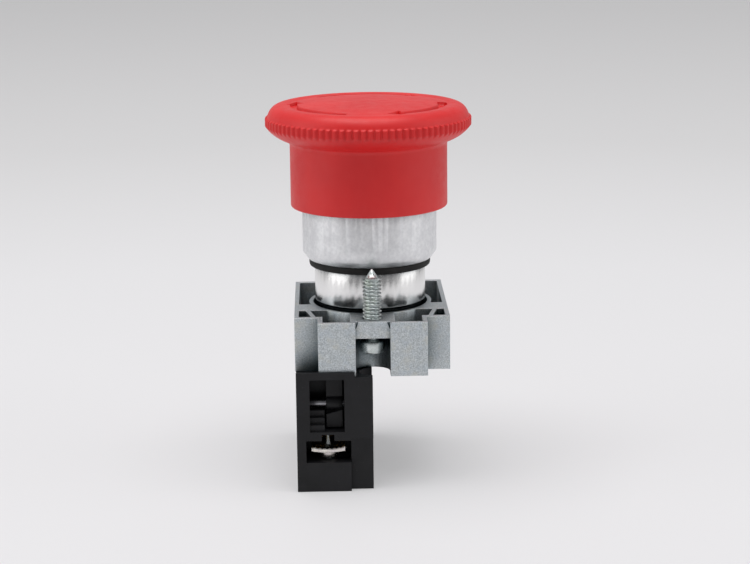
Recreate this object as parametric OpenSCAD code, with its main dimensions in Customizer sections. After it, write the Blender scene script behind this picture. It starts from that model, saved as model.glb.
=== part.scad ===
// Emergency stop button, 22 mm panel type: turn-to-release mushroom head, zinc bezel and neck,
// clamp collar with two pointed screws, and one normally closed contact block.
// The origin is the centre of the gasket's underside, where the front of the panel lies.
// +Z points out of the panel towards the head, and -Y is the side of the front terminal.

/* [Mushroom head] */
// Diameter over the ribs of the head's rim
head_d = 40; // [39:0.5:42]
// Height of the dome's centre above the panel
head_top = 32.1; // [31.8:0.1:32.8]
// Lower edge of the ribbed band
rim_low = 27.5; // [27.2:0.05:27.7]
// Upper edge of the ribbed band
rim_high = 29.1; // [28.8:0.05:29.6]
// Number of ribs round the rim
rib_count = 91; // [60:1:100]
// Depth of the grooves between the ribs
rib_depth = 0.45; // [0.3:0.05:0.6]
// Outside diameter of the skirt
skirt_d = 30.6; // [30:0.1:31]
// Height of the skirt's lower edge above the panel
skirt_low = 11.7; // [11:0.1:12]
// Radius of the circle that the turn arrows lie on
arrow_r = 14.4; // [13.6:0.2:14.6]
// Depth of the engraved arrows
arrow_depth = 0.6; // [0.4:0.1:0.8]

/* [Bezel and neck] */
// Diameter of the bezel under the skirt
bezel_d = 26.4; // [26:0.1:26.6]
// Height of the bezel's top edge
bezel_top = 17.5; // [17:0.5:17.5]
// Diameter of the neck that goes through the panel hole
neck_d = 21.7; // [21.6:0.1:21.9]
// Depth of the neck's lower end behind the panel
neck_low = 16.4; // [16:0.1:16.5]
// Thickness of the rubber gasket
gasket_h = 1.4; // [1.2:0.1:1.4]
// Outside diameter of the gasket
gasket_d = 23.8; // [23.4:0.1:24]

/* [Motion] */
// Travel of the head from released to latched
push_travel = 6; // [5:0.5:6]
// Travel of the contact plunger
plunger_travel = 4; // [3.5:0.5:4]
// Inward travel of the latch pins
pin_travel = 1; // [0.8:0.1:1]

/* [Collar] */
// Width of the collar
collar_w = 29.8; // [29:0.2:30]
// Depth of the collar's top edge behind the panel
collar_top = 7.5; // [7.2:0.1:7.8]
// Depth of the collar's bottom behind the panel
collar_low = 18; // [18:0.1:18]
// Thickness of the collar's side walls
collar_wall = 0.9; // [0.8:0.1:1.2]
// Distance from the axis to the end faces of the screw blocks
block_y = 19.4; // [19:0.1:19.4]
// Distance from the axis to each clamp screw
clamp_y = 15.4; // [15.4:0.1:15.5]
// Crest diameter of the clamp screws
clamp_d = 3.6; // [3.4:0.1:3.8]

/* [Contact block] */
// Bottom of the contact block behind the panel
case_low = 40.5; // [40:0.5:41]
// Half length of the contact block
case_y = 19.9; // [19.9:0.1:20.2]
// Thickness of the contact block's outer walls
case_wall = 1.6; // [1.4:0.1:1.6]

/* [Hidden] */
$fn = 64;
run_gap = 0.05;

head_r = head_d / 2;
skirt_r = skirt_d / 2;
skirt_in_r = skirt_r - 1.5;
dome_r = head_r - 4.5;
dome_drop = 0.8;
dome_z = head_top - dome_drop;
arrow_floor = head_top - dome_drop * pow(arrow_r / dome_r, 2) - arrow_depth;
rib_root_r = head_r - rib_depth;
skirt_join_z = rim_low - 3.3;
ceiling_z = head_top - 3;
hub_low = bezel_top + push_travel + 0.3;
hub_r = 5.6;
insert_r = 4;
thread_r = 2.5;

bezel_r = bezel_d / 2;
neck_r = neck_d / 2;
neck_foot_r = neck_r - 0.55;
neck_groove_r = neck_r - 0.25;
neck_bore_r = 9.4;
chamber_r = 9.8;
web_top = -1;
web_low = -3;
sleeve_r = 6.4;

shaft_r = 4;
foot_r = 3;
foot_top = -5.6;
cam_low = 3;
cam_h = push_travel + 2.3;
cam_min_r = shaft_r - pin_travel / push_travel * (cam_h - 0.3);
pusher_low = -11.8;
pusher_r = 9.2;
plunger_gap = push_travel - plunger_travel + run_gap;

pin_r = 1;
pin_z = cam_low + pin_r;
pin_tip_x = shaft_r + 0.07;
pin_end_x = 7;

collar_x = collar_w / 2;
ring_r = 12.04;
ring_bore_r = 11.2;
ring_foot_r = 10.5;
floor_top = -collar_low + 1.4;
strip_front = -14.7;
screw_block_x = 10.4;
strip_back = 17.4;
channel_r = 3.3;
boss_low = -10.8;
clamp_r = clamp_d / 2;
clamp_root_r = clamp_r - 0.42;
clamp_pitch = 0.7;

case_left = -14.75;
case_split = -4.4;
case_right = -0.15;
case_top = -collar_low;
cover_y = case_y - 1.3;
apron_low = -30;
driver_r = 2.65;
cavity_y = 10.2;
cavity_top = case_top - case_wall;
cavity_low = -case_low + case_wall;
cavity_left = case_left + case_wall;
cavity_right = case_right - 1.45;
recess_x = [-12.2, -5.6];
recess_z = [-28.7, -18.4];
recess_y = 12.6;
bay_z = [-34.75, -30.4];
bay_y = 11.8;
brass_low = bay_z[1] - 0.8;
plunger_x = -7.4;
plunger_r = 1.8;
screw_x = -8.8;
screw_y = 15.6;
shelf_low = -36.3;
lever_x = [-9.1, -5.9];
pivot_y = -15.55;
pivot_z = -24;
arm_z = [-26.2, -25.4];
tip_y = 5.6;

// ---- helpers ----

// A point on the quadratic curve from a to c that b pulls towards itself
function bend(a, b, c, t) = (1 - t) * (1 - t) * a + 2 * t * (1 - t) * b + t * t * c;

// Evenly spaced points of that curve, both ends included
function bend_points(a, b, c, n) = [for (i = [0:n]) bend(a, b, c, i / n)];

// A box from its low corner to its high corner
module box(lo, hi) {
    translate(lo) cube(hi - lo);
}

// A tube round Z between two heights
module tube(r_out, r_in, z0, z1) {
    translate([0, 0, z0])
        difference() {
            cylinder(r = r_out, h = z1 - z0);
            translate([0, 0, -1]) cylinder(r = r_in, h = z1 - z0 + 2);
        }
}

// The second of two pieces that mirror each other front to back
module back() {
    mirror([0, 1, 0]) children();
}

// Both ends of the part, front and back
module both_ends() {
    children();
    back() children();
}

// Both sides of the part, right and left
module both_sides() {
    children();
    mirror([1, 0, 0]) children();
}

// One ring of a coil spring: a round wire bent to a full circle
module wire_ring(r, wire) {
    rotate_extrude() translate([r, 0]) circle(d = wire, $fn = 16);
}

// A compression spring drawn as level turns joined by a short tie along its outside
module coil(r, wire, z0, z1, turns) {
    step = (z1 - z0 - wire) / (turns - 1);
    for (i = [0:turns - 1])
        translate([0, 0, z0 + wire / 2 + i * step]) wire_ring(r, wire);
    translate([r, 0, z0 + wire / 2]) cylinder(d = wire * 0.8, h = z1 - z0 - wire, $fn = 16);
}

// Half outline of a screw thread with level crests, as points of radius and height
function thread_points(root, crest, pitch, z0, z1) =
    let (n = floor((z1 - z0) / pitch))
    [for (i = [0:n - 1]) each [
        [root, z0 + i * pitch],
        [crest, z0 + (i + 0.42) * pitch],
        [crest, z0 + (i + 0.58) * pitch]
    ]];

// ---- mushroom head ----

// Outline of the head as if it were solid, from the skirt's lower edge round to the top
function cap_outline() = concat(
    [[0, skirt_low + 0.4], [skirt_in_r, skirt_low + 0.4], [skirt_r - 0.4, skirt_low]],
    [[skirt_r, skirt_low + 0.4]],
    bend_points([skirt_r, skirt_join_z], [skirt_r + 2.3, skirt_join_z + 0.7],
        [rib_root_r, rim_low], 5),
    bend_points([rib_root_r, rim_high], [head_r - 1.2, head_top], [dome_r, dome_z], 7),
    [for (i = [3:-1:0]) [dome_r * i / 4, head_top - dome_drop * i * i / 16]]
);

// The ribs round the rim, whose grooves reach just below the round body of the rim
module rim_ribs() {
    step = 360 / rib_count;
    translate([0, 0, rim_low])
        linear_extrude(rim_high - rim_low)
            polygon([for (i = [0:2 * rib_count - 1])
                let (r = i % 2 == 0 ? head_r : rib_root_r - 0.08, a = i * step / 2)
                [r * sin(a), -r * cos(a)]]);
}

// One engraved arrow that points clockwise, tip near the front, with a stem of that many degrees
module turn_arrow(stem) {
    rotate([0, 0, -65])
        rotate_extrude(angle = stem)
            translate([arrow_r - 0.6, arrow_floor]) square([1.2, 2]);
    translate([0, 0, arrow_floor])
        linear_extrude(2)
            polygon([
                [(arrow_r - 1.9) * cos(-64), (arrow_r - 1.9) * sin(-64)],
                [arrow_r * cos(-77), arrow_r * sin(-77)],
                [(arrow_r + 1.4) * cos(-64), (arrow_r + 1.4) * sin(-64)]
            ]);
}

// The broad tail that ends the right-hand arrow
module arrow_tail() {
    rotate([0, 0, -11])
        rotate_extrude(angle = 14)
            translate([arrow_r - 1, arrow_floor]) square([2, 2]);
}

module mushroom_cap() {
    color([0.85, 0.1, 0.1])
        difference() {
            union() {
                difference() {
                    rotate_extrude() polygon(cap_outline());
                    cylinder(r = skirt_in_r, h = hub_low);
                    tube(skirt_in_r, hub_r, skirt_low, ceiling_z - 2.5);
                    tube(rib_root_r - 3.3, hub_r, ceiling_z - 2.5, ceiling_z);
                }
                rim_ribs();
                cap_webs();
            }
            translate([0, 0, hub_low - 1]) cylinder(r = insert_r, h = 7);
            turn_arrow(56);
            arrow_tail();
            for (i = [1:2]) rotate([0, 0, 120 * i]) turn_arrow(77.5);
        }
}

// Six webs that stiffen the ceiling between the hub and the skirt
module cap_webs() {
    for (i = [0:5])
        rotate([0, 0, 60 * i])
            box([hub_r - 0.5, -0.5, ceiling_z - 2.3], [skirt_in_r + 0.5, 0.5, ceiling_z + 0.5]);
}

module cap_insert() {
    color("goldenrod") tube(insert_r, thread_r, hub_low, hub_low + 5.9);
}

// ---- parts on the spindle ----

module spindle() {
    color("silver")
        rotate_extrude()
            polygon([
                [0, pusher_low + 0.1],
                [foot_r, pusher_low + 0.1],
                [foot_r, pusher_low + 0.4],
                [foot_r - 0.5, pusher_low + 0.4],
                [foot_r - 0.5, pusher_low + 1],
                [foot_r, pusher_low + 1],
                [foot_r, foot_top],
                [shaft_r, foot_top],
                [shaft_r, cam_low],
                [cam_min_r, cam_low + cam_h - 0.3],
                [cam_min_r, cam_low + cam_h],
                [shaft_r, cam_low + cam_h],
                [shaft_r, hub_low],
                [thread_r, hub_low],
                [thread_r, hub_low + 5.6],
                [0, hub_low + 5.6]
            ]);
}

module spindle_circlip() {
    color("dimgray")
        translate([0, 0, pusher_low + 0.45])
            rotate([0, 0, 110])
                rotate_extrude(angle = 320)
                    translate([foot_r - 0.5, 0]) square([1.7, 0.5]);
}

module thrust_washer() {
    color("gainsboro") tube(4.6, foot_r + run_gap, foot_top - 0.4, foot_top);
}

// Disc with a hub that slides in the neck and does not turn: two keys run in the neck's grooves
module pusher() {
    color("ivory")
        difference() {
            union() {
                translate([0, 0, pusher_low]) cylinder(r = pusher_r, h = 2.4);
                translate([0, 0, pusher_low]) cylinder(r = 5.6, h = foot_top - 0.4 - pusher_low);
                both_ends() box([-1, -9.7, pusher_low], [1, -8, pusher_low + 2.4]);
            }
            translate([0, 0, pusher_low - 1]) cylinder(r = foot_r + run_gap, h = 8);
            translate([0, 0, pusher_low - 1]) cylinder(r = 5, h = 2.2);
        }
}

module twist_spring() {
    color("gray") coil(6.6, 0.7, pusher_low + 2.45, foot_top - 0.5, 4);
}

module return_spring() {
    color("lightgray") coil(7.9, 0.9, 6.65, ceiling_z - 2.35, 6);
}

// ---- bezel, neck and what they hold ----

module bezel_body() {
    color("silver")
        difference() {
            rotate_extrude()
                polygon([
                    [neck_bore_r, -neck_low],
                    [neck_foot_r, -neck_low],
                    [neck_foot_r, -7.2],
                    [neck_r, -6.8],
                    [neck_r, 0],
                    [neck_groove_r, 0],
                    [neck_groove_r, gasket_h],
                    [bezel_r - 1.1, gasket_h],
                    [bezel_r - 0.1, 2.8],
                    [bezel_r, bezel_top - 0.5],
                    [bezel_r - 0.5, bezel_top],
                    [chamber_r + 0.3, bezel_top],
                    [chamber_r, bezel_top - 0.3],
                    [chamber_r, web_top],
                    [sleeve_r + 0.1, web_top],
                    [sleeve_r + 0.1, web_low],
                    [neck_bore_r, web_low]
                ]);
            // grooves for the pusher's keys
            both_ends() box([-1.1, -9.85, -neck_low - 1], [1.1, -9, -6]);
            // straight slots that the collar's lugs slide into
            both_sides() box([9.85, -1.7, -neck_low - 1], [11, 1.7, -11.9]);
        }
}

// Rubber ring with a bead that holds in the neck's groove
module panel_gasket() {
    color("black")
        rotate_extrude()
            polygon([
                [neck_r + 0.1, 0],
                [gasket_d / 2, 0],
                [gasket_d / 2, gasket_h],
                [neck_groove_r + run_gap, gasket_h],
                [neck_groove_r + run_gap, 0.4]
            ]);
}

module guide_sleeve() {
    color([0.2, 0.2, 0.22])
        difference() {
            union() {
                translate([0, 0, -5]) cylinder(r = sleeve_r, h = 19.5);
                translate([0, 0, web_top]) cylinder(r = 9.7, h = 1.2);
                translate([0, 0, pin_z + 2]) cylinder(r = 9.5, h = 0.6);
                both_sides()
                    translate([5.5, 0, pin_z]) rotate([0, 90, 0]) cylinder(r = 1.95, h = 3.8);
            }
            translate([0, 0, -6]) cylinder(r = shaft_r + run_gap, h = 22);
            translate([-12, 0, pin_z]) rotate([0, 90, 0]) cylinder(r = pin_r + run_gap, h = 24);
        }
}

module spindle_seal() {
    color("black") tube(6.2, shaft_r + run_gap, 14.5, 16);
}

// A latch pin on the +X side, its flat tip against the spindle's cam
module latch_pin() {
    color("slategray")
        translate([pin_tip_x, 0, pin_z])
            rotate([0, 90, 0]) cylinder(r = pin_r, h = pin_end_x - pin_tip_x);
}

module latch_pin_left() {
    mirror([1, 0, 0]) latch_pin();
}

module latch_pin_right() {
    latch_pin();
}

module latch_pin_springs() {
    color("lightgray")
        both_sides()
            translate([0, 0, pin_z])
                rotate([0, 90, 0]) coil(0.75, 0.25, pin_end_x + 0.05, chamber_r - 0.1, 4);
}

// ---- collar ----

// The full block that the collar is hollowed from
module collar_block() {
    box([-collar_x, strip_front, -collar_low], [collar_x, strip_back, -collar_top]);
    box([-screw_block_x, -block_y, -collar_low], [screw_block_x, block_y, -collar_top]);
}

// Everything that stays between the pockets: ring, cross ribs, slanting ribs and screw walls
module collar_stays() {
    translate([0, 0, -collar_low - 1]) cylinder(r = ring_r, h = collar_low);
    both_ends() box([-channel_r - 1, -block_y, -collar_low], [channel_r + 1, -11, 0]);
    both_sides() {
        box([8, -8.4, -collar_low], [collar_x, -3, 0]);
        // slanting rib to the front corner strip
        translate([0, 0, -collar_low])
            linear_extrude(collar_low)
                polygon([[11.9, -8], [12.8, -8], [11.6, -14], [10.7, -14]]);
    }
}

// The pockets between the walls, open at the top
module collar_pockets() {
    box([-collar_x + collar_wall, strip_front + 1.1, floor_top],
        [collar_x - collar_wall, strip_back - 1.1, 0]);
    both_sides() box([channel_r + 1, 1 - block_y, floor_top], [9.5, block_y - 1, 0]);
}

// The open channel that each clamp screw's head runs in, with the screw boss across its top
module screw_channel() {
    difference() {
        union() {
            translate([0, -clamp_y, -collar_low - 1]) cylinder(r = channel_r, h = collar_low);
            box([-channel_r, -block_y - 1, -collar_low - 1], [channel_r, -clamp_y, 0]);
        }
        // what stays of the boss
        translate([0, 5 - block_y + 0.9, 0])
            rotate([90, 0, 0])
                linear_extrude(5)
                    polygon([
                        [-channel_r - 1, boss_low], [channel_r + 1, boss_low],
                        [channel_r + 1, -8.9], [channel_r, -8.9], [2.7, -collar_top],
                        [-2.7, -collar_top], [-channel_r, -8.9], [-channel_r - 1, -8.9]
                    ]);
        box([-channel_r - 1, 1.3 - block_y, boss_low], [channel_r + 1, -11, -collar_top]);
    }
}

module mounting_collar() {
    color([0.7, 0.72, 0.76])
        difference() {
            union() {
                difference() {
                    collar_block();
                    difference() {
                        collar_pockets();
                        collar_stays();
                    }
                    both_ends() screw_channel();
                    translate([0, 0, -11.5]) cylinder(r = ring_bore_r, h = 12);
                    translate([0, 0, -collar_low - 1]) cylinder(r = ring_foot_r, h = 12);
                }
                // lugs that slide into the neck's slots
                both_sides() box([9.95, -1.5, -15], [ring_foot_r + 0.3, 1.5, -12.5]);
            }
            both_ends() translate([0, -clamp_y, -collar_low]) cylinder(r = clamp_r + run_gap, h = 20);
            // slots in the floor for the contact block's hooks
            both_ends()
                box([lever_x[0] - 0.3, -17.6, -collar_low - 1], [lever_x[1] + 0.3, -14.2, floor_top + 1]);
        }
}

// A clamp screw: pointed tip up, pan head down with a cross recess
module clamp_screw() {
    color("silver")
        translate([0, -clamp_y, 0])
            difference() {
                rotate_extrude()
                    polygon(concat(
                        [[0, -14.1], [1.9, -14.1], [2.4, -13.5], [2.45, -11.7], [clamp_root_r, -11.7]],
                        thread_points(clamp_root_r, clamp_r, clamp_pitch, -11.6, 0.4),
                        [[clamp_root_r, 0.3], [1.15, 0.45], [0.15, 2.1], [0, 2.1]]
                    ));
                cross_recess(-14.1, 1.5);
            }
}

// A cross recess cut up into a screw head whose face is at z
module cross_recess(z, half_w) {
    for (a = [0, 90])
        rotate([0, 0, a])
            box([-half_w, -0.3, z - 1], [half_w, 0.3, z + 1.1]);
}

module clamp_screw_front() {
    clamp_screw();
}

module clamp_screw_back() {
    back() clamp_screw();
}

// ---- contact block ----

// What one end of the housing has cut out of it: latch recess, terminal bay and screw shaft
module housing_end_cuts() {
    box([recess_x[0], -case_y - 1, recess_z[0]], [recess_x[1], -recess_y, recess_z[1]]);
    box([-13, -case_y - 1, bay_z[0]], [case_split + 1, -bay_y, bay_z[1]]);
    // notch in the bar above the bay for the screw's tip
    translate([screw_x, -screw_y, bay_z[1] - 1]) cylinder(r = 1.3, h = 2.2);
    box([screw_x - 1.2, -case_y - 1, bay_z[1] - 1], [screw_x + 1.2, -screw_y, -29.2]);
    // screw shank, head chamber and driver hole, open to the side for assembly
    translate([screw_x, -screw_y, shelf_low - 1]) cylinder(r = 1.6, h = 3);
    box([screw_x, -screw_y - 1.6, shelf_low - 1], [case_split + 1, -screw_y + 1.6, bay_z[0] + 1]);
    translate([screw_x, -screw_y, -39.3]) cylinder(r = 3, h = 3);
    box([screw_x, -screw_y - 3, -39.3], [case_split + 1, -screw_y + 3, shelf_low]);
    translate([screw_x, -screw_y, -case_low - 1]) cylinder(r = 2.3, h = 3);
    // slot for the fixed contact in the wall between bay and cavity
    box([-11.7, -bay_y - 1, brass_low - run_gap], [-5.1, -cavity_y + 1, bay_z[1] + run_gap]);
}

// The stepped ledge in the lower corner of the recess
module recess_ledge() {
    for (i = [0:2])
        box([recess_x[0] - 0.2, -case_y + 0.7 + i, recess_z[0] - 0.2],
            [-9.4, -recess_y + 0.2, recess_z[0] + 1.2 * (i + 1)]);
}

module contact_housing() {
    color([0.09, 0.09, 0.1])
        difference() {
            union() {
                difference() {
                    union() {
                        box([case_left, -case_y, -case_low], [case_split, case_y, case_top]);
                        // apron in front of the cover's upper part
                        both_ends()
                            box([case_split - 0.1, -case_y, apron_low],
                                [case_right, -cover_y - run_gap, case_top]);
                        // lip that laps the foot of the collar
                        both_ends()
                            box([case_left, -case_y, case_top - 1],
                                [case_split + 0.8, -block_y - run_gap, case_top + 1]);
                    }
                    box([cavity_left, -cavity_y, cavity_low], [case_split + 1, cavity_y, cavity_top]);
                    both_ends() housing_end_cuts();
                    translate([plunger_x, 0, cavity_top - 1]) cylinder(r = plunger_r + run_gap, h = 4);
                }
                both_ends() recess_ledge();
                // fixed hook at the back
                box([lever_x[0], 14.9, case_top - 0.5], [lever_x[1], 16.2, -15.2]);
                box([lever_x[0], 13.5, -16.5], [lever_x[1], 16.2, -15.2]);
            }
            // way up for the latch arm at the front
            box([lever_x[0] - 0.3, -17.6, recess_z[1] - 1], [recess_x[1], -14.4, case_top + 0.3]);
            // seats of the latch pivot and of the cover pins
            translate([case_left + 1.5, pivot_y, pivot_z]) rotate([0, 90, 0]) cylinder(r = 0.8, h = 8.8);
            both_ends() cover_pin_seats();
        }
}

// Where the pins that join housing and cover lie at one end
module cover_pin_seats() {
    for (z = [-22, -37.6])
        translate([-7.4, -11.4, z]) rotate([0, 90, 0]) cylinder(r = 0.6, h = 4.6);
}

module contact_cover() {
    color([0.1, 0.1, 0.11])
        difference() {
            box([case_split, -cover_y, -case_low], [case_right, cover_y, case_top]);
            box([case_split - 1, -cavity_y, cavity_low], [cavity_right, cavity_y, cavity_top]);
            // driver channels below the clamp screws
            both_ends() translate([0, -clamp_y, -case_low - 1]) cylinder(r = driver_r, h = 30);
            both_ends() cover_pin_seats();
        }
}

module cover_pins() {
    color("gray") both_ends() cover_pin_seats();
}

module plunger() {
    top = pusher_low - plunger_gap;
    color([0.8, 0.1, 0.1]) {
        difference() {
            union() {
                translate([plunger_x, 0, -22]) cylinder(r = plunger_r, h = top + 22);
                box([-11.4, -2.6, -32.5], [-3.4, 2.6, -19.8]);
            }
            box([-10.2, -3, -31.3], [-4.6, 3, -22.2]);
        }
        box([-10.3, -0.8, -27.25], [-4.5, 0.8, -26.3]);
    }
}

module plunger_spring() {
    color("lightgray") translate([plunger_x, 0, 0]) coil(2.3, 0.4, cavity_low + 0.02, -32.52, 5);
}

module contact_bridge() {
    color("goldenrod")
        difference() {
            box([-9.6, -7.2, -28], [-5.2, 7.2, -27.3]);
            both_ends() box([plunger_x - 0.25, -7.3, -29], [plunger_x + 0.25, -3.4, -27]);
        }
}

module bridge_tips() {
    color("silver")
        both_ends() translate([plunger_x, -tip_y, -27.3]) cylinder(r = 1.3, h = 0.43);
}

module bridge_spring() {
    color("lightgray") translate([plunger_x, 0, 0]) coil(1.7, 0.35, -31.28, -28.02, 5);
}

// A brass strip from the terminal bay through the wall and up to the fixed contact
module fixed_contact() {
    color("goldenrod")
        difference() {
            union() {
                box([-11.6, -17.4, brass_low], [-5.2, -9.3, bay_z[1]]);
                box([-9.6, -10.1, brass_low], [-5.2, -9.3, arm_z[1]]);
                box([-9.6, -10.1, arm_z[0]], [-5.2, -4.2, arm_z[1]]);
            }
            // fork for the terminal screw
            translate([screw_x, -screw_y, -33]) cylinder(r = 1.6, h = 3);
            box([screw_x - 1.6, -20, -33], [screw_x + 1.6, -screw_y, -30]);
        }
}

module fixed_contact_front() {
    fixed_contact();
}

module fixed_contact_back() {
    back() fixed_contact();
}

module fixed_tips() {
    color("silver")
        both_ends() translate([plunger_x, -tip_y, arm_z[0] - 0.65]) cylinder(r = 1.3, h = 0.65);
}

// A terminal screw: pointed tip up in the bay, pan head in the chamber below the shelf
module terminal_screw() {
    color("silver")
        translate([screw_x, -screw_y, 0])
            difference() {
                rotate_extrude()
                    polygon(concat(
                        [[0, -38.3], [2.2, -38.3], [2.7, -37.8], [2.7, -36.4], [1.1, -36.4]],
                        thread_points(1.1, 1.45, 0.6, -36.1, -32.4),
                        [[1.1, -32.5], [0.7, -32.2], [0.12, -29.45], [0, -29.45]]
                    ));
                cross_recess(-38.3, 1.5);
            }
}

module terminal_screw_front() {
    terminal_screw();
}

module terminal_screw_back() {
    back() terminal_screw();
}

// A bowed plate with a tapped boss below it
module saddle_clamp() {
    color([0.8, 0.79, 0.74])
        difference() {
            union() {
                translate([0, -12.7, 0])
                    rotate([90, 0, 0])
                        linear_extrude(5.9)
                            polygon([
                                [-12.05, -32.7], [-11.1, -33.0], [-10.3, -33.15], [-7.3, -33.15],
                                [-6.5, -33.0], [-5.55, -32.7], [-5.55, -31.85], [-6.5, -32.15],
                                [-7.3, -32.25], [-10.3, -32.25], [-11.1, -32.15], [-12.05, -31.85]
                            ]);
                translate([screw_x, -screw_y, -34.45]) cylinder(r = 1.95, h = 1.8);
            }
            translate([screw_x, -screw_y, -36]) cylinder(r = 1.45 + run_gap, h = 5);
        }
}

module saddle_clamp_front() {
    saddle_clamp();
}

module saddle_clamp_back() {
    back() saddle_clamp();
}

// Lever in the front recess: hook at the top over the collar's floor, finger tab at the bottom
module block_latch() {
    color([0.12, 0.12, 0.13])
        difference() {
            union() {
                box([lever_x[0], -16.2, -28.4], [lever_x[1], -14.9, -15.2]);
                box([lever_x[0], -16.2, -16.5], [lever_x[1], -13.5, -15.2]);
                translate([lever_x[0], pivot_y, pivot_z])
                    rotate([0, 90, 0]) cylinder(r = 1.5, h = lever_x[1] - lever_x[0]);
                translate([0, -16.1, 0])
                    rotate([90, 0, 0])
                        linear_extrude(1.5)
                            polygon([
                                [lever_x[0], -28.4], [lever_x[1], -28.4],
                                [lever_x[1], -24.9], [lever_x[0], -25.8]
                            ]);
            }
            translate([lever_x[0] - 1, pivot_y, pivot_z])
                rotate([0, 90, 0]) cylinder(r = 0.8 + run_gap, h = 6);
        }
}

module block_latch_pin() {
    color("silver")
        translate([case_left + 1.5, pivot_y, pivot_z]) rotate([0, 90, 0]) cylinder(r = 0.8, h = 8.8);
}

module block_latch_spring() {
    color("lightgray")
        translate([(lever_x[0] + lever_x[1]) / 2, 0, -27])
            rotate([90, 0, 0]) coil(0.9, 0.25, recess_y + 0.02, 14.88, 4);
}

mushroom_cap();
cap_insert();
spindle();
spindle_circlip();
thrust_washer();
pusher();
twist_spring();
return_spring();
bezel_body();
panel_gasket();
guide_sleeve();
spindle_seal();
latch_pin_left();
latch_pin_right();
latch_pin_springs();
mounting_collar();
clamp_screw_front();
clamp_screw_back();
contact_housing();
contact_cover();
cover_pins();
plunger();
plunger_spring();
contact_bridge();
bridge_tips();
bridge_spring();
fixed_contact_front();
fixed_contact_back();
fixed_tips();
terminal_screw_front();
terminal_screw_back();
saddle_clamp_front();
saddle_clamp_back();
block_latch();
block_latch_pin();
block_latch_spring();
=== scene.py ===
"""Looks of a 22 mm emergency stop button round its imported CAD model, with lengths in mm."""
from math import cos, pi, radians, sin, tau

import bmesh
import bpy
from mathutils import Matrix, Vector


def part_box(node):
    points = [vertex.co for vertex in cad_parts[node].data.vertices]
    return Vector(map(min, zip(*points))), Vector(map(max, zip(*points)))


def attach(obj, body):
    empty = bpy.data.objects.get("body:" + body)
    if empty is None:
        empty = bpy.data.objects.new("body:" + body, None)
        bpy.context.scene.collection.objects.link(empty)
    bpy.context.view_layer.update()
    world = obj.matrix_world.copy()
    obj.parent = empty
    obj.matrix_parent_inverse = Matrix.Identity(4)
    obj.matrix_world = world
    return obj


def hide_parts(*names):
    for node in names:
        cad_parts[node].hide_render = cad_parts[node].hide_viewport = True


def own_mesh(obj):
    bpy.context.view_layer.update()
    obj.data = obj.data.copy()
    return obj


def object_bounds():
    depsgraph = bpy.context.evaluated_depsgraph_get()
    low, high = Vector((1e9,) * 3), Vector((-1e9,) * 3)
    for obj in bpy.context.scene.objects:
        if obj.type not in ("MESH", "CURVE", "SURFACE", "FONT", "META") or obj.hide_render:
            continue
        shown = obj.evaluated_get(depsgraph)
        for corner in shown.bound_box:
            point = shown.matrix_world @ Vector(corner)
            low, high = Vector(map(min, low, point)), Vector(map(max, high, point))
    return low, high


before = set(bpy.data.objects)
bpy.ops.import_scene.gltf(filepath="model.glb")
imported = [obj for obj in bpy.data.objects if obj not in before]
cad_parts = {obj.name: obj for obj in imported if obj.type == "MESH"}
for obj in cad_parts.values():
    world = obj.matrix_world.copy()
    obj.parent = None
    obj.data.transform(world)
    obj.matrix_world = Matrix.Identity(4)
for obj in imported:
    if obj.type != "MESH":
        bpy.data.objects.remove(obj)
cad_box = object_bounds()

MM = 0.001


def edges(node):
    """Lowest and highest corner of a CAD node, in mm."""
    low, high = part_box(node)
    return low / MM, high / MM


# ---- outlines ----

def bend(a, b, c, steps):
    """Points of the quadratic curve from a to c that b pulls towards itself."""
    return [tuple((1 - t) ** 2 * p + 2 * t * (1 - t) * q + t * t * r for p, q, r in zip(a, b, c))
            for t in (i / steps for i in range(steps + 1))]


def line(a, b, steps):
    """Evenly spaced points from a up to but not including b."""
    return [tuple(p + (q - p) * i / steps for p, q in zip(a, b)) for i in range(steps)]


def eased(points, radius, steps=3, closed=True):
    """The same outline with every corner rounded."""
    out, count = [], len(points)
    for i, corner in enumerate(points):
        if not closed and i in (0, count - 1):
            out.append(corner)
            continue
        here, before, after = Vector(corner), Vector(points[i - 1]), Vector(points[(i + 1) % count])
        cut = min(radius, (before - here).length * 0.45, (after - here).length * 0.45)
        start = here + (before - here).normalized() * cut
        end = here + (after - here).normalized() * cut
        out += bend(start, here, end, steps)
    return out


def smooth(low, high, value):
    """0 below low, 1 above high, and an even S between them."""
    t = max(0.0, min(1.0, (value - low) / (high - low)))
    return t * t * (3 - 2 * t)


# ---- meshes ----

def turned(profile, segments, shape=None, at=(0, 0), ring=False):
    """A profile of (radius, height) turned round Z. Angles count from the front, -Y, towards +X.
    shape(radius, height, angle) may move each point, and a ring's profile is closed on itself."""
    verts, rings = [], []
    for radius, height in profile:
        if radius < 1e-6:
            verts.append((at[0], at[1], height))
            rings.append([len(verts) - 1] * segments)
            continue
        rings.append(range(len(verts), len(verts) + segments))
        for j in range(segments):
            a = tau * j / segments
            r, z = shape(radius, height, a) if shape else (radius, height)
            verts.append((at[0] + r * sin(a), at[1] - r * cos(a), z))
    faces = []
    for k in range(len(rings) if ring else len(rings) - 1):
        below, above = rings[k], rings[(k + 1) % len(rings)]
        for j in range(segments):
            j2 = (j + 1) % segments
            face = [below[j], below[j2], above[j2], above[j]]
            face = [v for n, v in enumerate(face) if v != face[n - 1]]
            if len(face) > 2:
                faces.append(face)
    return verts, faces


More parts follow.
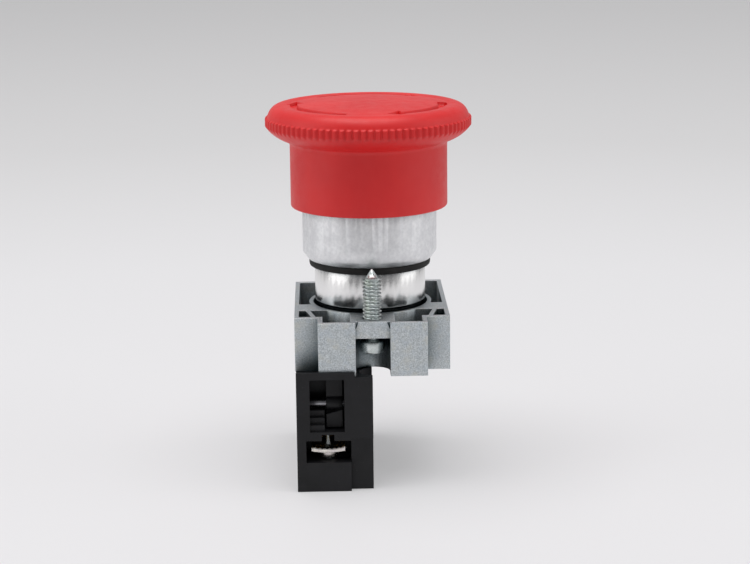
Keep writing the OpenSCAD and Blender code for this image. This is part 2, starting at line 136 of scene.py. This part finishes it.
def wire(path, radius, sides=10):
    """A round wire along a path of points, with flat ends."""
    verts, faces, side = [], [], None
    path = [Vector(p) for p in path]
    for i, here in enumerate(path):
        ahead = (path[min(i + 1, len(path) - 1)] - path[max(i - 1, 0)]).normalized()
        side = (side or ahead.orthogonal())
        side = (side - ahead * side.dot(ahead)).normalized()
        other = ahead.cross(side)
        verts += [here + (side * cos(tau * k / sides) + other * sin(tau * k / sides)) * radius
                  for k in range(sides)]
    for i in range(len(path) - 1):
        for k in range(sides):
            k2 = (k + 1) % sides
            faces.append([i * sides + k, i * sides + k2, (i + 1) * sides + k2, (i + 1) * sides + k])
    last = (len(path) - 1) * sides
    faces += [list(range(sides)), list(range(last, last + sides))]
    return verts, faces


def slab(outline, low, high, edge, turn=Matrix.Identity(3)):
    """An outline in X and Y between two heights with eased edges, then turned by a matrix."""
    count = len(outline)
    area = sum(outline[i - 1][0] * outline[i][1] - outline[i][0] * outline[i - 1][1]
               for i in range(count))
    inward = []
    for i in range(count):
        along = Vector(outline[(i + 1) % count]) - Vector(outline[i - 1])
        inward.append(Vector((-along.y, along.x)).normalized() * (1 if area > 0 else -1))
    verts = []
    levels = [(edge, low), (edge * 0.3, low + edge * 0.3), (0, low + edge),
              (0, high - edge), (edge * 0.3, high - edge * 0.3), (edge, high)]
    for inset, height in levels:
        for point, normal in zip(outline, inward):
            spot = Vector(point) + normal * inset
            verts.append(turn @ Vector((spot.x, spot.y, height)))
    faces = [list(range(count)), list(range(5 * count, 6 * count))]
    for k in range(5):
        for i in range(count):
            i2 = (i + 1) % count
            faces.append([k * count + i, k * count + i2, (k + 1) * count + i2, (k + 1) * count + i])
    return verts, faces


def joined(*parts):
    """Several meshes as one."""
    verts, faces = [], []
    for part_verts, part_faces in parts:
        faces += [[v + len(verts) for v in face] for face in part_faces]
        verts += list(part_verts)
    return verts, faces


def piece(name, shape, body, look, stands_for, crease=40):
    """A mesh in mm as a piece of the object, in place of a CAD node."""
    verts, faces = shape
    mesh = bpy.data.meshes.new(name)
    mesh.from_pydata([[c * MM for c in v] for v in verts], [], faces)
    work = bmesh.new()
    work.from_mesh(mesh)
    bmesh.ops.recalc_face_normals(work, faces=work.faces)
    work.to_mesh(mesh)
    work.free()
    mesh.shade_smooth()
    mesh.set_sharp_from_angle(angle=radians(crease))
    mesh.materials.append(look)
    made = bpy.data.objects.new(name, mesh)
    bpy.context.scene.collection.objects.link(made)
    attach(made, body)
    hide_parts(stands_for)
    return made


def soften(node, look, width=0.0):
    """A CAD node with a better material, and its sharp edges eased by a bevel of that width."""
    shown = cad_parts[node]
    for held in shown.material_slots:
        held.material = look
    if width:
        weld = shown.modifiers.new("weld", "WELD")
        weld.merge_threshold = 1e-6
        flat = shown.modifiers.new("flat", "DECIMATE")
        flat.decimate_type = "DISSOLVE"
        flat.angle_limit = radians(0.5)
        bevel = shown.modifiers.new("bevel", "BEVEL")
        bevel.width = width * MM
        bevel.segments = 2
        bevel.limit_method = "ANGLE"
        bevel.angle_limit = radians(40)
        bevel.harden_normals = True
    return shown


# ---- materials ----

class Look:
    """A Principled material. Noise sizes are in cells per mm, and a bump's depth is in mm."""

    def __init__(self, name, colour=None, metallic=0.0, **fixed):
        self.material = bpy.data.materials.new(name)
        self.material.use_nodes = True
        self.nodes = self.material.node_tree.nodes
        self.shader = self.nodes["Principled BSDF"]
        self.shader.inputs["Metallic"].default_value = metallic
        if colour:
            self.shader.inputs["Base Color"].default_value = (*colour, 1)
        for socket, value in fixed.items():
            self.shader.inputs[socket.replace("_", " ")].default_value = value
        self.place = self.add("ShaderNodeTexCoord").outputs["Object"]
        self.relief = None

    def add(self, kind, links=(), **settings):
        node = self.nodes.new(kind)
        for key, value in settings.items():
            setattr(node, key, value)
        for socket, value in dict(links).items():
            if isinstance(value, bpy.types.NodeSocket):
                self.material.node_tree.links.new(value, node.inputs[socket])
            else:
                node.inputs[socket].default_value = value
        return node

    def scaled(self, per_mm, stretch):
        factors = [per_mm / MM * s for s in stretch]
        return self.add("ShaderNodeMapping", {"Vector": self.place, "Scale": factors}).outputs[0]

    def noise(self, per_mm, detail=3.0, stretch=(1, 1, 1)):
        at = self.scaled(per_mm, stretch)
        return self.add("ShaderNodeTexNoise",
                        {"Vector": at, "Scale": 1.0, "Detail": detail}).outputs["Fac"]

    def cells(self, per_mm, stretch=(1, 1, 1)):
        at = self.scaled(per_mm, stretch)
        return self.add("ShaderNodeTexVoronoi", {"Vector": at, "Scale": 1.0}).outputs["Distance"]

    def height(self):
        """The height above the panel in metres."""
        return self.add("ShaderNodeSeparateXYZ", {"Vector": self.place}).outputs["Z"]

    def spread(self, value, low, high, start=0.3, end=0.7):
        """value between start and end, spread over low to high."""
        return self.add("ShaderNodeMapRange", {"Value": value, "From Min": start, "From Max": end,
                                               "To Min": low, "To Max": high}).outputs["Result"]

    def sums(self, a, b, operation="ADD"):
        return self.add("ShaderNodeMath", {0: a, 1: b}, operation=operation).outputs[0]

    def mix(self, factor, a, b):
        """Colour a where factor is 0 and b where it is 1. Each is a colour or a socket."""
        a, b = [c if isinstance(c, bpy.types.NodeSocket) else (*c, 1) for c in (a, b)]
        node = self.add("ShaderNodeMix", {0: factor, 6: a, 7: b}, data_type="RGBA")
        return node.outputs[2]

    def painted_crevice_shade(self, colour, dark, reach):
        """Painted shade: the colour turns dark where surfaces within reach in mm stand round a point.
        """
        open_share = self.add("ShaderNodeAmbientOcclusion", {"Distance": reach * MM}, samples=8)
        factor = self.spread(open_share.outputs["AO"], 0, 1, 0.25, 0.85)
        return self.mix(factor, dark, colour)

    def bump(self, height, depth):
        links = {"Height": height, "Distance": depth * MM}
        if self.relief:
            links["Normal"] = self.relief
        self.relief = self.add("ShaderNodeBump", links).outputs["Normal"]

    def done(self, **sockets):
        tree = self.material.node_tree
        for socket, value in sockets.items():
            tree.links.new(value, self.shader.inputs[socket.replace("_", " ")])
        if self.relief:
            tree.links.new(self.relief, self.shader.inputs["Normal"])
        return self.material


def moulded(name, light, dark, rough=(0.4, 0.5), grain=6.0, depth=0.006, **fixed):
    """Moulded plastic: faint flow marks in the colour, and a fine spark-eroded grain."""
    look = Look(name, **fixed)
    flow = look.noise(0.12, 4, (1, 1, 0.4))
    fine = look.noise(grain, 2)
    look.bump(look.noise(0.35, 2), depth * 2.5)
    look.bump(fine, depth)
    return look.done(Base_Color=look.mix(look.spread(flow, 0, 1), dark, light),
                     Roughness=look.spread(look.sums(flow, fine, "MULTIPLY"), *rough, 0.1, 0.4))


def red_plastic():
    """The head: satin red with a fine grain, a little smoother in patches."""
    look = Look("red_plastic", IOR=1.5, Specular_IOR_Level=0.5)
    flow = look.noise(0.09, 4, (1, 1, 0.5))
    fine = look.noise(5.0, 2)
    rubbed = look.noise(0.5, 5)
    look.bump(look.noise(0.25, 2), 0.02)
    look.bump(fine, 0.008)
    colour = look.mix(look.spread(flow, 0, 1), (0.62, 0.007, 0.009), (0.72, 0.013, 0.013))
    rough = look.spread(look.sums(rubbed, fine, "MULTIPLY"), 0.4, 0.55, 0.12, 0.38)
    return look.done(Base_Color=colour, Roughness=rough)


def cast_chrome():
    """Satin plating on a die casting: finely mottled, smoother and brighter on the neck, with painted
    shade in its crevices.
    """
    look = Look("cast_chrome", metallic=1.0)
    cloud = look.noise(0.5, 6)
    mottle = look.noise(1.6, 4)
    fine = look.noise(5.0, 3)
    on_neck = look.spread(look.height(), 1, 0, -0.0005, 0.0015)
    patch = look.spread(look.sums(cloud, mottle, "MULTIPLY"), 0, 1, 0.14, 0.38)
    colour = look.mix(patch, (0.69, 0.695, 0.71), (0.8, 0.805, 0.815))
    colour = look.mix(on_neck, colour, (0.84, 0.835, 0.83))
    rough = look.sums(look.spread(patch, 0.46, 0.4, 0, 1), look.spread(on_neck, 0, -0.2, 0, 1))
    look.bump(fine, 0.012)
    # painted shade: the plating's colour turns near black in crevices within 3 mm
    return look.done(Base_Color=look.painted_crevice_shade(colour, (0.1, 0.12, 0.13), 3), Roughness=rough)


def zinc_casting():
    """Blue-passivated zinc die casting: fine grain, faint yellow and blue tints, and painted shade in
    its pockets.
    """
    look = Look("zinc_casting", metallic=1.0)
    grain = look.noise(4.5, 4)
    speck = look.noise(9.0, 2)
    tint = look.noise(0.5, 4)
    patch = look.noise(0.8, 3)
    colour = look.mix(look.spread(grain, 0, 1, 0.33, 0.67), (0.4, 0.44, 0.455), (0.74, 0.78, 0.8))
    warm = look.mix(look.spread(tint, 0, 0.45, 0.52, 0.7), colour, (0.66, 0.65, 0.58))
    cool = look.mix(look.spread(patch, 0, 0.35, 0.5, 0.7), warm, (0.5, 0.57, 0.64))
    look.bump(grain, 0.035)
    look.bump(speck, 0.02)
    # painted shade: the casting's colour turns dark blue-grey in pockets and crevices within 6 mm
    return look.done(Base_Color=look.painted_crevice_shade(cool, (0.05, 0.08, 0.09), 6),
                     Roughness=look.spread(speck, 0.36, 0.52))


def plated(name, dark, light, rough, tint=None, per_mm=2.0, depth=0.006):
    """Plated or plain metal with fine grain and soft stains."""
    look = Look(name, metallic=1.0)
    stain = look.noise(0.6, 4)
    fine = look.noise(per_mm * 3, 2)
    colour = look.mix(look.spread(stain, 0, 1), dark, light)
    if tint:
        colour = look.mix(look.spread(look.noise(0.35, 2), 0, 0.7, 0.5, 0.7), colour, tint)
    look.bump(look.noise(per_mm, 3), depth * 2)
    look.bump(fine, depth)
    return look.done(Base_Color=colour, Roughness=look.spread(fine, *rough))


def case_black():
    """Black glass-filled nylon with a fine grain and dusty specks."""
    look = Look("case_black", IOR=1.45, Specular_IOR_Level=0.35)
    fine = look.noise(5.0, 3)
    cloud = look.noise(0.2, 3)
    dust = look.cells(1.1)
    colour = look.mix(look.spread(cloud, 0, 1), (0.006, 0.006, 0.007), (0.012, 0.012, 0.014))
    colour = look.mix(look.spread(dust, 0.5, 0, 0.03, 0.07), colour, (0.12, 0.12, 0.12))
    look.bump(look.noise(0.3, 2), 0.02)
    look.bump(fine, 0.012)
    return look.done(Base_Color=colour, Roughness=look.spread(fine, 0.4, 0.54))


def rubber():
    """Dull black rubber with a fine grain."""
    look = Look("gasket_rubber", Specular_IOR_Level=0.3)
    fine = look.noise(4.0, 4)
    look.bump(fine, 0.02)
    wear = look.spread(look.noise(0.5, 3), 0, 1)
    colour = look.mix(wear, (0.008, 0.008, 0.008), (0.018, 0.017, 0.016))
    return look.done(Base_Color=colour, Roughness=look.spread(fine, 0.6, 0.8))


RED = red_plastic()
CHROME = cast_chrome()
ZINC = zinc_casting()
BLACK = case_black()
RUBBER = rubber()
SCREW = plated("zinc_steel", (0.46, 0.5, 0.5), (0.72, 0.76, 0.75), (0.22, 0.38), (0.58, 0.63, 0.57))
NICKEL = plated("nickel_steel", (0.62, 0.58, 0.52), (0.84, 0.81, 0.76), (0.16, 0.32), (0.6, 0.55, 0.58))
BRASS = plated("brass", (0.6, 0.42, 0.16), (0.78, 0.58, 0.27), (0.25, 0.4))
STEEL = plated("steel", (0.46, 0.47, 0.49), (0.62, 0.63, 0.65), (0.2, 0.35))
SPRING = plated("spring_steel", (0.2, 0.2, 0.22), (0.38, 0.38, 0.4), (0.25, 0.4))
SILVER = plated("silver", (0.78, 0.77, 0.74), (0.9, 0.89, 0.86), (0.2, 0.34))
NYLON = moulded("natural_nylon", (0.78, 0.75, 0.66), (0.7, 0.67, 0.58))
DARK_NYLON = moulded("dark_nylon", (0.05, 0.05, 0.055), (0.035, 0.035, 0.04))
PLUNGER_RED = moulded("plunger_red", (0.66, 0.04, 0.03), (0.56, 0.03, 0.025))


# ---- mushroom head ----

head_low, head_high = edges("mushroom_cap")
head_top = head_high.z
skirt_low = head_low.z
rim_r = head_high.x
skirt_r = 15.3
skirt_in_r = 13.8
skirt_high = 23.6
under_r, under_z = 16.2, 24.75
hub_r, bore_r, hub_low, bore_top, ceiling = 5.6, 4.0, 23.8, 29.7, 26.8
rim_low = 27.5
rim_high = 28.85
dome_r = 15.5
dome_drop = 0.8
rib_count = 91
rib_depth = 0.42
arrow_r = 14.4
arrow_depth = 0.7
stem_half = 0.75
ARROW_TIP, ARROW_BASE, ARROW_TAIL = radians(13), radians(26), radians(102.5)
TAIL_START, TAIL_END = radians(79), radians(93)
head_in, head_out, tail_half = 1.9, 1.4, 1.0


def head_profile():
    """From the bore of the hub round the skirt and the rim to the top."""
    inside = [(0, bore_top), (bore_r, bore_top), (bore_r, hub_low), (hub_r, hub_low),
              (hub_r, ceiling), (skirt_in_r, ceiling)]
    foot = eased([(skirt_in_r, ceiling - 0.5), (skirt_in_r, skirt_low), (skirt_r, skirt_low),
                  (skirt_r, skirt_low + 3)], 0.35, closed=False)
    side = line((skirt_r, skirt_low + 3), (skirt_r, skirt_high), 5)
    fillet = bend((skirt_r, skirt_high), (skirt_r, skirt_high + 0.8), (under_r, under_z), 6)
    bulge = bend((under_r, under_z), (18.6, 25.6), (rim_r - 0.12, rim_low - 0.12), 12)[1:]
    band = line((rim_r, rim_low), (rim_r, rim_high), 12)
    dome_z = head_top - dome_drop
    root_r, root_z = rim_r - rib_depth, rim_high + 0.3
    rib_ends = bend((rim_r, rim_high), (rim_r - 0.02, rim_high + 0.2), (root_r, root_z), 4)
    shoulder = bend((root_r, root_z), (rim_r - 1.2, head_top), (dome_r, dome_z), 26)[1:]
    dome = [(r, head_top - dome_drop * (r / dome_r) ** 2)
            for r in [dome_r - 0.12 * i for i in range(1, 33)] + [11, 10, 8, 6, 4, 2, 0]]
    return inside + foot + side + fillet + bulge + band + rib_ends + shoulder + dome


def arrow_inside(r, angle):
    """How far in mm a point of the dome lies inside one of the three arrows. The first one, on
    the front right, ends in a broad tail."""
    off, best = abs(r - arrow_r), -1.0
    for third in range(3):
        a = (angle - third * tau / 3 + pi) % tau - pi
        share = (a - ARROW_TIP) / (ARROW_BASE - ARROW_TIP)
        head = min(r - arrow_r + head_in * share, arrow_r + head_out * share - r, (ARROW_BASE - a) * r)
        end = ARROW_TAIL if third else TAIL_END
        stem = min(stem_half - off, (a - ARROW_BASE) * r + 0.3, (end - a) * r)
        best = max(best, head, stem)
        if not third:
            best = max(best, min(tail_half - off, (a - TAIL_START) * r, (TAIL_END - a) * r))
    return best


def head_shape(r, z, angle):
    """Grooves between the ribs of the rim, and the arrows cut into the dome."""
    if z > rim_low - 1.2 and r > rim_r - rib_depth:
        from_groove = abs((angle * rib_count / tau) % 1 - 0.5) * 2
        return min(r, rim_r - rib_depth * (1 - smooth(0.22, 0.62, from_groove))), z
    if z > head_top - 1.4 and r < 16.4:
        return r, z - arrow_depth * smooth(0.0, 0.16, arrow_inside(r, angle))
    return r, z


piece("mushroom_head", turned(head_profile(), rib_count * 8, head_shape), "mushroom", RED,
      "mushroom_cap", crease=60)


# ---- screws and springs ----

def thread(root, crest, pitch, start, end):
    """A shape for turned() that winds a right-hand thread between two heights."""
    def shape(r, z, angle):
        if not start < z < end:
            return r, z
        turn = (z / pitch + angle / tau) % 1
        tooth = smooth(0.12, 0.9, 1 - abs(2 * turn - 1))
        fade = min(1, (z - start) / pitch)
        return root + (crest - root) * tooth * fade, z
    return shape


def cross_cut(face_z, depth):
    """A shape for turned() that presses a cross recess up into a head's lower face."""
    def shape(r, z, angle):
        x, y = abs(r * sin(angle)), abs(r * cos(angle))
        arm = min(0.36 - min(x, y), 1.55 - max(x, y))
        inside = max(arm, 0.75 - r)
        if z < face_z + 0.35:
            z += depth * smooth(0, 0.2, inside) * (1 - 0.45 * smooth(0.3, 1.5, r))
        return r, z
    return shape


def screw(node, body, root, crest, pitch, head_r, head_h, tip_r, tip_h):
    """A pan-head screw, head down and pointed end up, in a CAD screw's box."""
    low, high = edges(node)
    at = ((low.x + high.x) / 2, (low.y + high.y) / 2)
    start, end = low.z + head_h + 0.15, high.z - tip_h
    step = 0.09
    face = [(step * i, low.z) for i in range(1, int((head_r - 0.5) / step))]
    side = eased([(face[-1][0], low.z), (head_r - 0.15, low.z + 0.1), (head_r, low.z + head_h * 0.5),
                  (head_r, low.z + head_h), (root, low.z + head_h)], 0.4, closed=False)[1:]
    rows = int((end - start) / pitch * 12)
    shank = [(root, start + (end - start) * i / rows) for i in range(rows + 1)]
    tip = [(tip_r, end + 0.05), (tip_r * 0.55, end + tip_h * 0.5)]
    tip += [(0.14, high.z - 0.08), (0, high.z)]
    cut, wind = cross_cut(low.z, head_h * 0.6), thread(root, crest, pitch, start, end)

    def shape(r, z, angle):
        return cut(r, z, angle) if z < low.z + 0.35 else wind(r, z, angle)

    profile = [(0, low.z + head_h * 0.6)] + face + side + shank + tip
    return piece(node + "_threaded", turned(profile, 64, shape, at), body, SCREW, node)


CLAMP = dict(root=1.3, crest=1.8, pitch=0.7, head_r=2.45, head_h=2.4, tip_r=1.15, tip_h=1.65)
TERMINAL = dict(root=1.0, crest=1.45, pitch=0.6, head_r=2.7, head_h=1.9, tip_r=0.7, tip_h=2.75)
for end in ("front", "back"):
    screw(f"clamp_screw_{end}", f"clamp_{end}", **CLAMP)
    screw(f"terminal_screw_{end}", f"terminal_{end}", **TERMINAL)


def helix(centre, axis, radius, start, end, gauge, turns):
    """A compression spring's wire with closed end turns, along axis 0, 1 or 2."""
    across = [i for i in range(3) if i != axis]
    steps = int(turns * 28)
    path = []
    for i in range(steps + 1):
        turn = turns * i / steps
        open_share = max(0.0, min(1.0, (turn - 0.9) / (turns - 1.8)))
        closed_run = min(turn, 0.9) + max(0.0, turn - turns + 0.9)
        free = (end - start) - 2.9 * gauge
        along = start + gauge / 2 + closed_run * gauge * 1.05 + open_share * free
        point = [0, 0, 0]
        point[axis] = min(along, end - gauge / 2)
        point[across[0]] = centre[across[0]] + radius * cos(tau * turn)
        point[across[1]] = centre[across[1]] + radius * sin(tau * turn)
        path.append(point)
    return wire(path, gauge / 2)


pin_end = 7.05


def spring(node, body, axis, gauge, turns, sides=(0,)):
    """A helix in a CAD spring's box. The pair behind the latch pins gives the side of each."""
    low, high = edges(node)
    centre = (low + high) / 2
    across = [i for i in range(3) if i != axis]
    radius = min((high - low)[i] for i in across) / 2 - gauge / 2
    coils = []
    for side in sides:
        start, end = low[axis], high[axis]
        if side:
            inner = pin_end * side
            start, end = sorted((inner, high[axis] if side > 0 else low[axis]))
        coils.append(helix(centre, axis, radius, start, end, gauge, turns))
    return piece(node + "_coil", joined(*coils), body, SPRING, node, crease=60)


def squash_spring(coil):
    """Gives a spring its own copy of its mesh data."""
    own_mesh(coil)


squash_spring(spring("return_spring", "head_body", 2, 0.9, 7))
squash_spring(spring("plunger_spring", "collar_body", 2, 0.4, 7))
squash_spring(spring("block_latch_spring", "collar_body", 1, 0.25, 5))
spring("twist_spring", "pusher_body", 2, 0.7, 4)
spring("bridge_spring", "plunger_body", 2, 0.35, 5)
spring("latch_pin_springs", "head_body", 0, 0.25, 6, sides=(-1, 1))


# ---- saddle clamps ----

bow_height, saddle_thick, saddle_boss_r = 0.4, 0.85, 1.95


def saddle(node, body):
    """A bowed wire clamp with a serrated top and a boss below it, without the screw's hole."""
    low, high = edges(node)
    middle, half = (low.x + high.x) / 2, (high.x - low.x) / 2
    xs = [low.x + (high.x - low.x) * i / 40 for i in range(41)]

    def bow(x):
        return bow_height * ((x - middle) / half) ** 2

    top_z = high.z - bow_height - 0.08
    top = [(x, top_z + bow(x) + 0.07 * sin(tau * (x - middle) / 0.9)) for x in xs]
    under = [(x, top_z - saddle_thick + bow(x) * 0.85) for x in reversed(xs)]
    upright = Matrix(((1, 0, 0), (0, 0, 1), (0, 1, 0)))
    plate = slab(top + under, low.y, high.y, 0.12, upright)
    boss = eased([(1.5, low.z), (saddle_boss_r, low.z), (saddle_boss_r, top_z - 0.5),
                  (1.5, top_z - 0.5)], 0.2)
    at = (middle, (low.y + high.y) / 2)
    return piece(node + "_plate", joined(plate, turned(boss, 48, at=at, ring=True)), body, NICKEL,
                 node)


for end in ("front", "back"):
    saddle(f"saddle_clamp_{end}", f"saddle_{end}")


# ---- gasket ----

def gasket():
    """The rubber ring, bulging a little under the bezel."""
    low, high = edges("panel_gasket")
    inner = high.x - 0.95
    ring = eased([(inner, low.z), (high.x - 0.1, low.z), (high.x, (low.z + high.z) / 2),
                  (high.x - 0.1, high.z), (inner, high.z)], 0.25)
    return piece("gasket_ring", turned(ring, 160, ring=True), "head_body", RUBBER,
                 "panel_gasket")


gasket()


# ---- CAD nodes that stay ----

soften("bezel_body", CHROME, 0.2)
soften("mounting_collar", ZINC, 0.22)
soften("contact_housing", BLACK, 0.15)
soften("contact_cover", BLACK, 0.15)
soften("block_latch", BLACK, 0.12)
soften("pusher", NYLON, 0.15)
soften("guide_sleeve", DARK_NYLON, 0.1)
soften("plunger", PLUNGER_RED, 0.1)
for brass_node in ("cap_insert", "contact_bridge", "fixed_contact_front", "fixed_contact_back"):
    soften(brass_node, BRASS, 0.06)
for steel_node in ("spindle", "thrust_washer", "latch_pin_left", "latch_pin_right", "cover_pins"):
    soften(steel_node, STEEL, 0.06)
soften("spindle_circlip", SPRING)
soften("block_latch_pin", SPRING, 0.06)
soften("spindle_seal", RUBBER)
soften("bridge_tips", SILVER, 0.06)
soften("fixed_tips", SILVER, 0.06)


# ---- floor, lights and camera ----

def floor():
    """A pale floor that glows faintly by its own emission, with painted shade making it a little darker
    far from the object, and clear from below.
    """
    size = 8.0
    mesh = bpy.data.meshes.new("floor")
    corners = [(-size, -size, 0), (size, -size, 0), (size, size, 0), (-size, size, 0)]
    mesh.from_pydata(corners, [], [[0, 1, 2, 3]])
    plane = bpy.data.objects.new("floor", mesh)
    plane.location.z = cad_box[0].z - 0.00005
    bpy.context.scene.collection.objects.link(plane)
    look = Look("pale_floor", Roughness=0.6, Specular_IOR_Level=0.2, Emission_Strength=0.29)
    look.shader.inputs["Emission Color"].default_value = (1, 0.995, 1, 1)
    away = look.add("ShaderNodeVectorMath", {0: look.place}, operation="LENGTH").outputs["Value"]
    # painted shade: the floor's colour darkens with distance from the object
    shade = look.spread(away, 0, 1, 0.19, 0.42)
    colour = look.mix(shade, (0.47, 0.465, 0.475), (0.41, 0.405, 0.408))
    look.done(Base_Color=colour)
    below = look.add("ShaderNodeNewGeometry").outputs["Backfacing"]
    clear = look.add("ShaderNodeBsdfTransparent").outputs[0]
    shown = look.add("ShaderNodeMixShader", {0: below, 1: look.shader.outputs[0], 2: clear})
    out = look.nodes["Material Output"]
    look.material.node_tree.links.new(shown.outputs[0], out.inputs["Surface"])
    mesh.materials.append(look.material)


def softbox(name, place, aim, width, height, power):
    """A rectangular area light at a place, facing a point."""
    light = bpy.data.lights.new(name, "AREA")
    light.shape = "RECTANGLE"
    light.size, light.size_y = width, height
    light.energy = power
    lamp = bpy.data.objects.new(name, light)
    lamp.location = place
    lamp.rotation_mode = "QUATERNION"
    lamp.rotation_quaternion = (Vector(aim) - Vector(place)).to_track_quat("-Z", "Y")
    bpy.context.scene.collection.objects.link(lamp)


def surround(front, rear):
    """A pale surround, with one strength in front of the object, -Y, and another behind it."""
    world = bpy.data.worlds.new("surround")
    world.use_nodes = True
    nodes, links = world.node_tree.nodes, world.node_tree.links
    direction = nodes.new("ShaderNodeTexCoord").outputs["Generated"]
    parts = nodes.new("ShaderNodeSeparateXYZ")
    blend = nodes.new("ShaderNodeMapRange")
    for socket, value in (("From Min", -1), ("From Max", 1), ("To Min", front), ("To Max", rear)):
        blend.inputs[socket].default_value = value
    links.new(direction, parts.inputs[0])
    links.new(parts.outputs["Y"], blend.inputs["Value"])
    links.new(blend.outputs["Result"], nodes["Background"].inputs["Strength"])
    nodes["Background"].inputs["Color"].default_value = (0.93, 0.93, 0.95, 1)
    bpy.context.scene.world = world


def camera():
    """A long lens in front of the object and a little above it, with a slight roll."""
    distance, aim = 0.414952, Vector((0.000651, 0, -0.006267))
    pitch, roll, yaw = radians(12.977), radians(-0.667), radians(-1.367)
    ahead = Vector((0, cos(pitch), -sin(pitch)))
    up, right = Vector((0, sin(pitch), cos(pitch))), Vector((1, 0, 0))
    tilted_right = right * cos(roll) + up * sin(roll)
    tilted_up = up * cos(roll) - right * sin(roll)
    axes = Matrix((tilted_right, tilted_up, -ahead)).transposed().to_4x4()
    data = bpy.data.cameras.new("camera")
    data.sensor_width, data.lens = 36.0, 100.856
    data.shift_x, data.shift_y = 0.002, 0.01533
    shot = bpy.data.objects.new("camera", data)
    shot.matrix_world = Matrix.Rotation(yaw, 4, "Z") @ Matrix.Translation(aim - ahead * distance) @ axes
    bpy.context.scene.collection.objects.link(shot)
    bpy.context.scene.camera = shot


floor()
softbox("overhead", (-0.05, -0.1, 0.9), (0, 0, 0), 0.9, 0.7, 7)
softbox("left", (-0.75, -0.15, 0.3), (0, 0, 0), 0.7, 0.7, 1.7)
softbox("right", (0.75, -0.15, 0.3), (0, 0, 0), 0.7, 0.7, 1.5)
surround(0.2, 0.56)
camera()
bpy.context.scene.view_settings.view_transform = "Standard"
